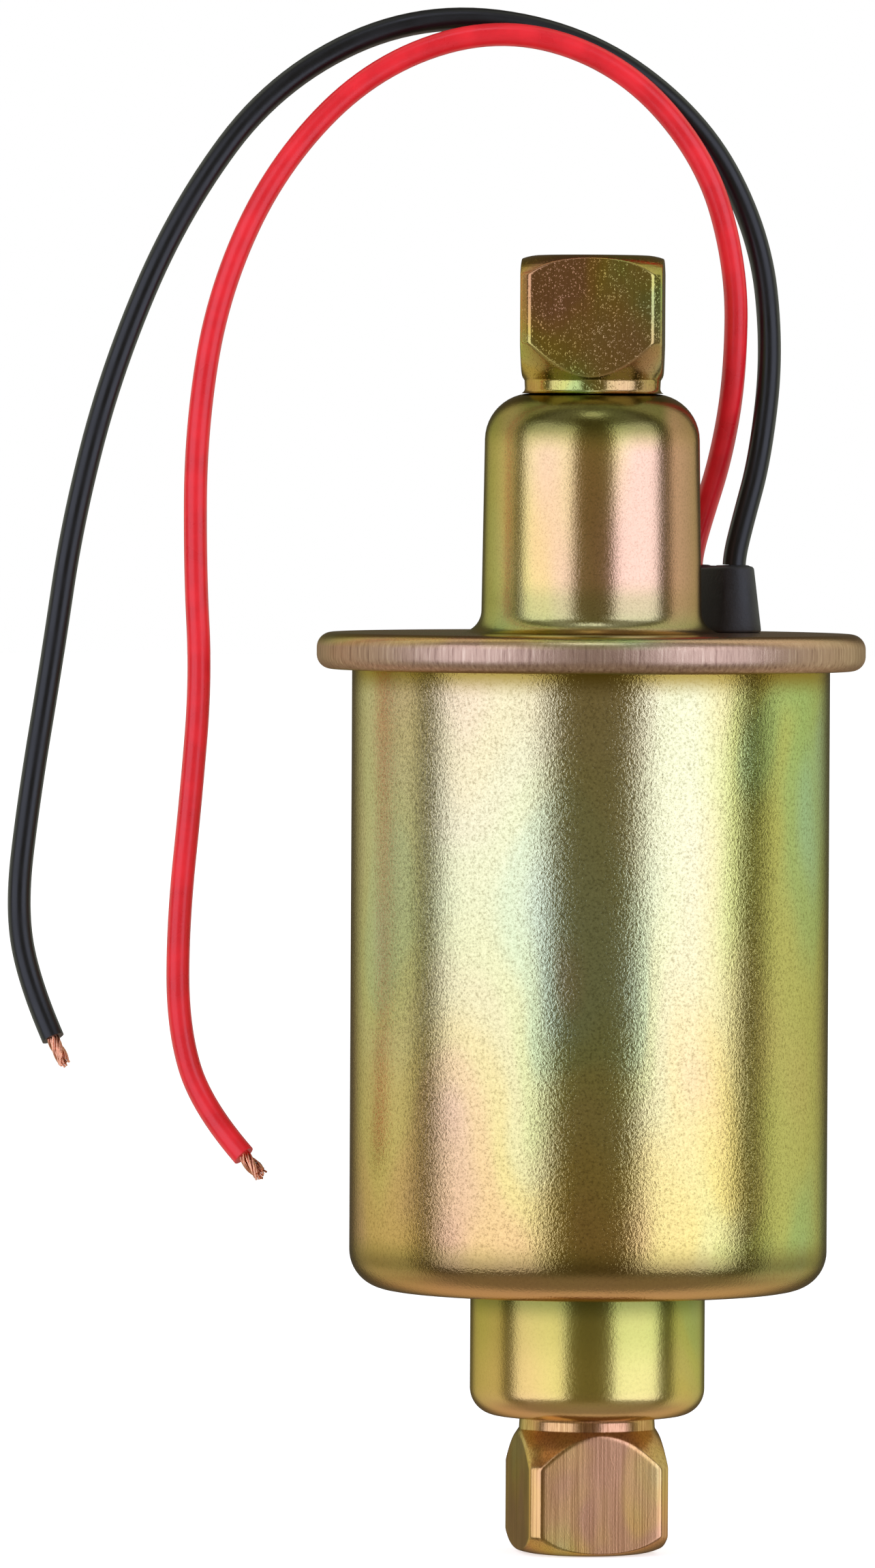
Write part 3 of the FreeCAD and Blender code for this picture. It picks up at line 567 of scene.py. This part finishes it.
def streaked(name, film_look, shine, streak_height, pit_height, dark, light):
    """Plating over drawn bar: upright streaks in its relief and colour, and fine pits."""
    material, tree, place, film_tone, surface, relief = plated(
        name, {"Patch Size": 0.010, "Upright Stretch": 1.6, **film_look},
        {"Grain Size": 0.0002, "Shine": shine, "Unevenness": 0.10}, 0.000005)
    streaks = stretched_noise(tree, place, (5200.0, 5200.0, 60.0))
    drawn = bump(tree, streaks, streak_height, under=relief)
    pits = span(tree, noise(tree, place, 4200.0, 1.0), 0.60, 0.72)
    shade = ramp(tree, streaks, [(0.36, dark), (0.60, light)])
    dress(tree, mixed(tree, 1.0, film_tone, shade, "MULTIPLY"), surface["Roughness"],
          bump(tree, pits, pit_height, under=drawn))
    return material


inlet_finish = streaked("inlet plating", {
    "Shift": 8.4, "Level": -0.17, "Pink": 0.4, "Pink Drift": (6.0, 0.0, 10.0),
}, shine=0.24, streak_height=0.000006, pit_height=0.000002, dark=(0.66, 0.58, 0.50), light=(0.94, 0.90, 0.84))
outlet_finish = streaked("outlet plating", {
    "Shift": 2.2, "Level": -0.02, "Drift": (12.0, 0.0, 0.0), "Pink": 0.8, "Pink Drift": (5.0, 0.0, 0.0),
}, shine=0.17, streak_height=0.000001, pit_height=0.000014, dark=(0.68, 0.62, 0.54), light=(0.78, 0.72, 0.64))
inlet = fitting("inlet_fitting", 0.0, 11.1, False, inlet_finish)
outlet = fitting("outlet_fitting", 144.8, -2.5, True, outlet_finish)
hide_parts("port_fittings")
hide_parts("port_fittings")

# Grommet
# One black rubber moulding round both leads: a tapered boot on the lid, with a low collar round each
# lead, a waist through the lid's hole and a lip under it.
grommet_place = 18.2
grommet_turn = 40.9
lead_pitch = 7.2
lip_radius = 3.1
waist_radius = 2.3
foot_round = 0.30
boot_radius = 3.05
boot_taper = 0.80
boot_start = 103.05
boot_rise = 6.65
top_radius = 1.80
top_round = 0.45
grommet_sides = 96


def rubber(name):
    material, tree, place = new_material(name, IOR=1.5)
    dust = noise(tree, place, 420.0, 4.0, 0.6)
    tone = ramp(tree, dust, [(0.3, (0.010, 0.010, 0.011)), (0.72, (0.024, 0.023, 0.024))])
    skin = noise(tree, place, 3600.0, 2.0)
    dress(tree, tone, span(tree, dust, 0.3, 0.7, 0.50, 0.66), bump(tree, skin, 0.00004, 0.8))
    return material


def grommet_rings():
    """The moulding's rings from under the lid up, each as radius, height and dip between the leads."""
    rings = [(0.6, 100.4, 0), (lip_radius - 0.2, 100.4, 0), (lip_radius, 100.6, 0),
             (lip_radius, lid_under - 0.2, 0), (lip_radius - 0.2, lid_under, 0), (waist_radius, lid_under, 0),
             (waist_radius, lid_top, 0), (2.85, lid_top, 0)]
    for step in range(5):
        angle = math.pi / 8 * step
        out = boot_radius - foot_round + foot_round * math.sin(angle)
        rings.append((out, lid_top + foot_round * (1 - math.cos(angle)) + 0.02, 0))
    for step in range(1, 13):
        share = step / 12
        rings.append((boot_radius - boot_taper * share, boot_start + boot_rise * share, 0))
    for step in range(1, 7):
        angle = math.pi / 12 * step
        up = boot_start + boot_rise + top_round * math.sin(angle)
        rings.append((top_radius + top_round * math.cos(angle), up, 0.25 * step / 6))
    return rings + [(1.6, 110.25, 0.45), (1.35, 110.28, 0.5), (0.7, 110.2, 0.6)]


points = []
for radius, height, dip in grommet_rings():
    for index in range(grommet_sides):
        angle = 2 * math.pi * index / grommet_sides
        straight = lead_pitch / 2 * max(-1, min(1, 3 * math.sin(angle)))
        along = radius * math.sin(angle) + straight
        between_leads = max(0.0, 1 - abs(along) / 2.4)
        up = height - dip * between_leads ** 0.8
        points.append(Vector((grommet_place + radius * math.cos(angle), along, up)))
spin = Matrix.Rotation(math.radians(grommet_turn), 3, "Z")
last = len(points) - grommet_sides
faces = []
for row in range(0, last, grommet_sides):
    for index in range(grommet_sides):
        following = (index + 1) % grommet_sides
        above = row + grommet_sides
        faces.append((row + index, row + following, above + following, above + index))
faces += [tuple(reversed(range(grommet_sides))), tuple(range(last, last + grommet_sides))]
black_rubber = rubber("black rubber")
boot = loose("grommet_boot", [spin @ point * MM for point in points], faces=faces)
boot.data.materials.append(black_rubber)
smooth(boot, 50)
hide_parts("lead_grommet")
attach(boot, "housing")

# Leads
# Two stranded wires in soft plastic, cut to length and left bare at the ends. They rise out of the boot,
# arch over to the left and hang, each with its own memory of the reel.
lead_radius = 1.3
black_line = [
    (16.11, 9.20, 110.3), (16.15, 9.20, 111.4), (17.0, 9.3, 115.0), (19.0, 9.8, 122.5),
    (20.3, 10.6, 134.5), (18.8, 11.2, 147.5), (12.0, 11.3, 160.3), (-1.5, 10.6, 170.0),
    (-19.5, 8.6, 172.2), (-35.6, 6.2, 164.3), (-46.3, 4.0, 149.5), (-53.6, 2.4, 132.0),
    (-57.9, 1.2, 115.0), (-60.1, 0.3, 99.5), (-62.6, -0.6, 84.0), (-64.0, -1.0, 71.5),
    (-62.3, -1.4, 63.0), (-59.7, -3.3, 57.3),
]
red_line = [
    (11.40, 14.64, 110.3), (11.45, 14.62, 111.4), (12.4, 14.3, 115.0), (14.7, 12.8, 122.5),
    (16.1, 10.0, 131.5), (16.2, 8.0, 143.5), (12.6, 7.0, 156.0), (3.0, 7.0, 166.6),
    (-10.5, 6.2, 170.6), (-24.5, 4.6, 166.0), (-35.3, 2.8, 154.8), (-41.8, 1.2, 140.5),
    (-44.2, 0.2, 125.0), (-44.2, -0.4, 109.5), (-43.5, -0.7, 97.5), (-44.5, -0.6, 84.5),
    (-45.9, -0.6, 70.5), (-45.9, -0.4, 58.5), (-43.2, -0.7, 49.6), (-38.4, -3.1, 44.3),
]


def tinted(colour, share):
    return tuple(min(1, channel * share) for channel in colour)


def plastic(name, colour, shine):
    """Soft or hard plastic with a faint mottle in its colour and shine."""
    material, tree, place = new_material(name, IOR=1.43)
    mottle = noise(tree, place, 260.0, 3.0)
    tone = ramp(tree, mottle, [(0.3, tinted(colour, 0.88)), (0.7, tinted(colour, 1.1))])
    skin = noise(tree, place, 2200.0, 2.0)
    dress(tree, tone, span(tree, mottle, 0.3, 0.7, shine - 0.05, shine + 0.06),
          bump(tree, skin, 0.00001, 0.6))
    return material


def lead(name, line, finish, node):
    curve = bpy.data.curves.new(name, "CURVE")
    curve.dimensions = "3D"
    spline = curve.splines.new("NURBS")
    spline.points.add(len(line) - 1)
    for point, place in zip(spline.points, line):
        point.co = (*(Vector(place) * MM), 1)
    spline.order_u = 3
    spline.use_endpoint_u = True
    spline.resolution_u = 12
    curve.resolution_u = 12
    curve.bevel_depth = lead_radius * MM
    curve.bevel_resolution = 6
    curve.use_fill_caps = True
    piece = bpy.data.objects.new(name, curve)
    bpy.context.scene.collection.objects.link(piece)
    curve.materials.append(finish)
    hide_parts(node)
    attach(piece, "housing")


black_plastic = plastic("black lead plastic", (0.004, 0.004, 0.005), 0.33)
red_plastic = plastic("red lead plastic", (0.76, 0.012, 0.020), 0.30)
lead("black_lead_cord", black_line, black_plastic, "black_lead")
lead("red_lead_cord", red_line, red_plastic, "red_lead")

# Bare strands
# Where each lead was stripped, its fine copper strands stand out of the plastic, still twisted together
# on the black lead and frayed apart on the red one.
strand_count = 19
strand_radius = 0.13
bundle_radius = 0.66
strands_sunk = 0.5
strands, strands_in, strands_out = new_group("bare strands", [
    ("Maker", "Geometry"), ("Strands", "Int"), ("Length", "Float"), ("Bundle Radius", "Float"),
    ("Strand Radius", "Float"), ("Twist", "Float"), ("Fray", "Float"), ("Seed", "Int"),
    ("Finish", "Material"),
], [("Bundle", "Geometry")], "GeometryNodeTree")


def chance(offset, low, high):
    """A number for each strand, from the tree's seed moved on by an offset."""
    seed = maths(strands, "ADD", strands_in["Seed"], offset) if offset else strands_in["Seed"]
    node = node_in(strands, "FunctionNodeRandomValue", {"ID": strand_id, "Seed": seed}, data_type="FLOAT")
    node.inputs[2].default_value = low
    node.inputs[3].default_value = high
    return node.outputs[1]


def times(*values):
    """All the values multiplied, in their order."""
    product = values[0]
    for value in values[1:]:
        product = maths(strands, "MULTIPLY", product, value)
    return product


seeds = node_in(strands, "GeometryNodeMeshLine", {"Count": strands_in["Strands"]}, mode="OFFSET")
seeds.inputs["Offset"].default_value = (0, 0, 0)
number = node_in(strands, "GeometryNodeInputIndex").outputs[0]
marked = node_in(strands, "GeometryNodeStoreNamedAttribute", {
    "Geometry": seeds.outputs[0], "Name": "strand", "Value": number,
}, data_type="INT", domain="POINT")
tip = node_in(strands, "ShaderNodeCombineXYZ", {"Z": strands_in["Length"]})
wire = node_in(strands, "GeometryNodeCurvePrimitiveLine", {"End": tip.outputs[0]})
fine = node_in(strands, "GeometryNodeResampleCurve", {"Curve": wire.outputs[0], "Count": 14})
bundle = node_in(strands, "GeometryNodeInstanceOnPoints", {
    "Points": marked.outputs[0], "Instance": fine.outputs[0],
})
real = node_in(strands, "GeometryNodeRealizeInstances", {"Geometry": bundle.outputs[0]})
strand_id = node_in(strands, "GeometryNodeInputNamedAttribute", {
    "Name": "strand",
}, data_type="INT").outputs[0]
along = node_in(strands, "GeometryNodeSplineParameter").outputs["Factor"]

# The strands' places fill the bundle in a sunflower's spiral, and each opens, twists and ends by itself.
golden_angle = 2.39996
share = maths(strands, "DIVIDE", maths(strands, "ADD", strand_id, 0.5), strands_in["Strands"])
spread = times(maths(strands, "POWER", share, 0.5), strands_in["Bundle Radius"])
opened = times(maths(strands, "POWER", along, 1.6), strands_in["Fray"], chance(0, 0.1, 1.0))
reach = times(spread, maths(strands, "ADD", opened, 1.0))
turning = times(along, maths(strands, "ADD", strands_in["Twist"], chance(7.0, -0.5, 0.5)))
bearing = maths(strands, "ADD", times(strand_id, golden_angle), turning)
placed = node_in(strands, "ShaderNodeCombineXYZ", {
    "X": times(reach, maths(strands, "COSINE", bearing)),
    "Y": times(reach, maths(strands, "SINE", bearing)),
    "Z": times(along, strands_in["Length"], chance(3.0, 0.72, 1.0)),
})
shaped = node_in(strands, "GeometryNodeSetPosition", {
    "Geometry": real.outputs[0], "Position": placed.outputs[0],
})
section = node_in(strands, "GeometryNodeCurvePrimitiveCircle", {
    "Resolution": 8, "Radius": strands_in["Strand Radius"],
})
drawn = node_in(strands, "GeometryNodeCurveToMesh", {
    "Curve": shaped.outputs[0], "Profile Curve": section.outputs["Curve"], "Fill Caps": True,
})
coloured = node_in(strands, "GeometryNodeSetMaterial", {
    "Geometry": drawn.outputs[0], "Material": strands_in["Finish"],
})
strands.links.new(coloured.outputs[0], strands_out["Bundle"])


def metal(name, colour, shine, size, streaks=(1, 1, 1)):
    """Plain bright metal with a little tarnish and fine marks in its shine."""
    material, tree, place = new_material(name, Metallic=1.0)
    marks = stretched_noise(tree, place, streaks, size, 4.0, 0.6)
    tone = ramp(tree, marks, [(0.3, tinted(colour, 0.72)), (0.68, tinted(colour, 1.08))])
    dress(tree, tone, span(tree, marks, 0.3, 0.7, shine + 0.08, shine - 0.04),
          bump(tree, marks, 0.00002, 0.5))
    return material


copper = metal("copper", (0.86, 0.42, 0.27), 0.26, 1800.0)


def bare_end(name, line, twist, fray, seed, length, node):
    """A lead's bare end, its strands starting a little way inside the plastic."""
    piece = made_plain(name, loose(name, [(0, 0, 0)]), strands, {
        "Strands": strand_count, "Length": (length + strands_sunk) * MM, "Bundle Radius": bundle_radius * MM,
        "Strand Radius": strand_radius * MM, "Twist": twist, "Fray": fray, "Seed": seed, "Finish": copper,
    })
    end = Vector(line[-1]) * MM
    heading = (Vector(line[-1]) - Vector(line[-2])).normalized()
    lay = heading.to_track_quat("Z", "Y").to_matrix().to_4x4()
    piece.data.transform(Matrix.Translation(end - heading * strands_sunk * MM) @ lay)
    smooth(piece, 50)
    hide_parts(node)
    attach(piece, "housing")


bare_end("black_lead_copper", black_line, 2.6, 0.05, 4, 3.5, "black_lead_strands")
bare_end("red_lead_copper", red_line, 2.8, 0.6, 11, 3.4, "red_lead_strands")

# Parts inside
# Shut in the can: the plunger and its valves in a brass tube, the coil on its nylon bobbin between steel
# pole plates, and the small circuit that pulses it. They show only when the pump is opened.
steel = metal("bright steel", (0.56, 0.56, 0.57), 0.30, 700.0, (1, 1, 0.2))
brass = metal("brass", (0.78, 0.57, 0.27), 0.28, 900.0, (1, 1, 0.2))
nylon = plastic("bobbin nylon", (0.72, 0.68, 0.58), 0.5)
board_green = plastic("board lacquer", (0.02, 0.16, 0.06), 0.3)
case_black = plastic("case epoxy", (0.02, 0.02, 0.022), 0.55)
resistor_tan = plastic("resistor body", (0.52, 0.38, 0.22), 0.42)
valve_white = plastic("valve plastic", (0.82, 0.80, 0.74), 0.45)
inside = {
    "plunger_tube": brass, "lower_pole_plate": steel, "upper_pole_plate": steel, "coil_bobbin": nylon,
    "circuit_board": board_green, "coil_terminals": brass, "power_transistor": case_black,
    "resistors": resistor_tan, "flyback_diode": case_black, "plunger": steel,
    "plunger_valve_disc": valve_white, "plunger_valve_cage": brass, "plunger_bumper": black_rubber,
    "plunger_stop": brass, "inlet_valve_disc": valve_white, "inlet_valve_cage": brass,
    "black_lead_tail": black_plastic, "red_lead_tail": red_plastic,
}
for node, finish in inside.items():
    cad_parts[node].data.materials.clear()
    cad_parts[node].data.materials.append(finish)

# Plunger spring
# A coil of bright spring wire between the inlet valve's cage and the plunger. It stays on the cage.
spring_turns = 9.0
spring_radius = 3.9
spring_wire = 0.42
coiler, coiler_in, coiler_out = new_group("coil a spring", [
    ("Maker", "Geometry"), ("Turns", "Float"), ("Coil Radius", "Float"), ("Wire Radius", "Float"),
    ("Rise", "Float"), ("Finish", "Material"),
], [("Spring", "Geometry")], "GeometryNodeTree")
turns_line = node_in(coiler, "GeometryNodeCurveSpiral", {
    "Resolution": 28, "Rotations": coiler_in["Turns"], "Start Radius": coiler_in["Coil Radius"],
    "End Radius": coiler_in["Coil Radius"], "Height": coiler_in["Rise"],
})
wire_edge = node_in(coiler, "GeometryNodeCurvePrimitiveCircle", {
    "Resolution": 10, "Radius": coiler_in["Wire Radius"],
})
coiled = node_in(coiler, "GeometryNodeCurveToMesh", {
    "Curve": turns_line.outputs[0], "Profile Curve": wire_edge.outputs["Curve"], "Fill Caps": True,
})
coiled = node_in(coiler, "GeometryNodeSetMaterial", {
    "Geometry": coiled.outputs[0], "Material": coiler_in["Finish"],
})
coiler.links.new(coiled.outputs[0], coiler_out["Spring"])
low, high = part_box("plunger_spring")
spring_rise = (high.z - low.z) - 2.1 * spring_wire * MM
spring = made_plain("plunger_return_spring", loose("spring maker", [(0, 0, 0)]), coiler, {
    "Turns": spring_turns, "Coil Radius": spring_radius * MM, "Wire Radius": spring_wire * MM,
    "Rise": spring_rise, "Finish": steel,
})
spring.data.transform(Matrix.Translation((0, 0, low.z + 1.05 * spring_wire * MM)))
smooth(spring, 60)
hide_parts("plunger_spring")
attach(spring, "housing")
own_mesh(spring)

# Winding
# The coil is enamelled copper wire wound turn beside turn, so its outside is ribbed. The solid that it
# replaces has twelve sides, and its box reaches only to their flats.
winding_wire = 0.3
winding_bore = 7.1
solid_sides = 12
low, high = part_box("drive_coil")
outer = high.x / MM / math.cos(math.pi / solid_sides) - winding_wire
turns = int((high.z - low.z) / MM / (2 * winding_wire))
ribs = []
for turn in range(turns):
    middle = low.z / MM + winding_wire * (2 * turn + 1)
    for step in range(5):
        angle = math.pi * (step + 0.5) / 5
        ribs.append((outer + winding_wire * math.sin(angle), middle - winding_wire * math.cos(angle), 0))
wound_copper = metal("enamelled copper", (0.55, 0.20, 0.09), 0.32, 900.0)
winding = turned("enamelled_winding", [
    (winding_bore, low.z / MM, 0), *ribs, (winding_bore, ribs[-1][1], 0),
], 72, wound_copper)
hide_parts("drive_coil")
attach(winding, "housing")

# Camera and studio
# The pump stands on its inlet fitting on a white table, lit by a tall soft box on each side of the
# camera, with darkness behind the camera and grey sides, as the bands in the plating show.
plain_light = 0.62
aim_height = 0.09
table_half = 6
camera_data = bpy.data.cameras.new("camera")
camera_data.sensor_fit = "VERTICAL"
camera_data.sensor_height = 36
camera_data.lens = 285.5
camera_data.clip_end = 100
camera = bpy.data.objects.new("camera", camera_data)
camera.location = (-0.01725, -1.387, 0.1232)
camera.rotation_euler = (math.radians(88.454), math.radians(-0.3), 0)
bpy.context.scene.collection.objects.link(camera)
bpy.context.scene.camera = camera
bpy.context.scene.view_settings.view_transform = "Standard"

# The table is hidden from reflections, and glows a little so that it is as pale as the plain light.
table_corners = [(-table_half, -table_half, 0), (table_half, -table_half, 0),
                 (table_half, table_half, 0), (-table_half, table_half, 0)]
table = loose("white_table", table_corners, faces=[(0, 1, 2, 3)])
paper, paper_tree, paper_place = new_material("white paper", Roughness=0.8, Emission_Color=(1, 1, 1, 1))
paper_inputs = paper_tree.nodes["Principled BSDF"].inputs
fibres = noise(paper_tree, paper_place, 900.0, 2.0)
paper_tone = ramp(paper_tree, fibres, [(0.3, grey(0.86)), (0.7, grey(0.90))])
rays = node_in(paper_tree, "ShaderNodeLightPath").outputs
seen = maths(paper_tree, "MAXIMUM", rays["Is Camera Ray"], rays["Is Transmission Ray"])
paper_tree.links.new(paper_tone, paper_inputs["Base Color"])
paper_tree.links.new(maths(paper_tree, "MULTIPLY", seen, plain_light), paper_inputs["Emission Strength"])
table.data.materials.append(paper)
table.visible_glossy = False

# Metal sees studio walls round the pump, from the camera's side at 0 to behind the pump at 1, and a warm
# floor below. Everything else is lit plainly, and the camera sees white.
world = bpy.data.worlds.new("studio")
bpy.context.scene.world = world
world.use_nodes = True
sky = world.node_tree
sky.nodes.clear()
direction = node_in(sky, "ShaderNodeTexCoord").outputs["Generated"]
facing = node_in(sky, "ShaderNodeSeparateXYZ", {"Vector": direction}).outputs
round_about = maths(sky, "ARCTAN2", facing["X"], maths(sky, "MULTIPLY", facing["Y"], -1.0))
turn_share = maths(sky, "DIVIDE", maths(sky, "ABSOLUTE", round_about), math.pi)
walls = ramp(sky, turn_share, [
    (0.00, (0.24, 0.205, 0.115)), (0.11, (0.23, 0.195, 0.11)), (0.15, grey(0.50)), (0.38, grey(0.50)),
    (0.43, (0.16, 0.15, 0.08)), (0.50, (0.18, 0.16, 0.09)), (0.54, (1.00, 1.00, 0.80)),
    (0.80, (0.80, 0.85, 0.70)), (0.87, (0.14, 0.13, 0.10)), (1.00, (0.10, 0.09, 0.07)),
], "LINEAR")
floor_tone = ramp(sky, turn_share, [(0.50, (0.42, 0.37, 0.29)), (0.72, (0.80, 0.67, 0.54))], "LINEAR")
downward = span(sky, facing["Z"], -0.30, -0.75, kind="SMOOTHSTEP")
surroundings = mixed(sky, downward, walls, floor_tone)
rays = node_in(sky, "ShaderNodeLightPath").outputs
seen = maths(sky, "MAXIMUM", rays["Is Camera Ray"], rays["Is Transmission Ray"])


def shining(colour, strength):
    return node_in(sky, "ShaderNodeBackground", {"Color": colour, "Strength": strength}).outputs[0]


def chosen(factor, plain, special):
    return node_in(sky, "ShaderNodeMixShader", {"Fac": factor, 1: plain, 2: special}).outputs[0]


mirrored = chosen(rays["Is Glossy Ray"], shining((1, 1, 1, 1), plain_light), shining(surroundings, 1.0))
whole_sky = chosen(seen, mirrored, shining((1, 1, 1, 1), 1.0))
node_in(sky, "ShaderNodeOutputWorld", {"Surface": whole_sky})


def soft_box(name, bearing, distance, width, tall, level, strength):
    """A soft box aimed at the pump, its bearing counted from the camera's side towards +X."""
    data = bpy.data.lights.new(name, "AREA")
    data.shape = "RECTANGLE"
    data.size = width
    data.size_y = tall
    data.energy = strength * math.pi * width * tall
    data.color = (0.90, 0.97, 1.28)
    box = bpy.data.objects.new(name, data)
    side = math.radians(bearing)
    box.location = (distance * math.sin(side), -distance * math.cos(side), level)
    aim = Vector((0, 0, aim_height)) - box.location
    box.rotation_euler = aim.to_track_quat("-Z", "Y").to_euler()
    bpy.context.scene.collection.objects.link(box)


soft_box("left_soft_box", -49.8, distance=1.0, width=1.11, tall=1.25, level=0.22, strength=1.38)
soft_box("right_soft_box", 49.3, distance=1.0, width=0.94, tall=1.25, level=0.22, strength=1.55)
soft_box("top_soft_box", 0, distance=0.50, width=0.36, tall=0.30, level=1.25, strength=2.4)
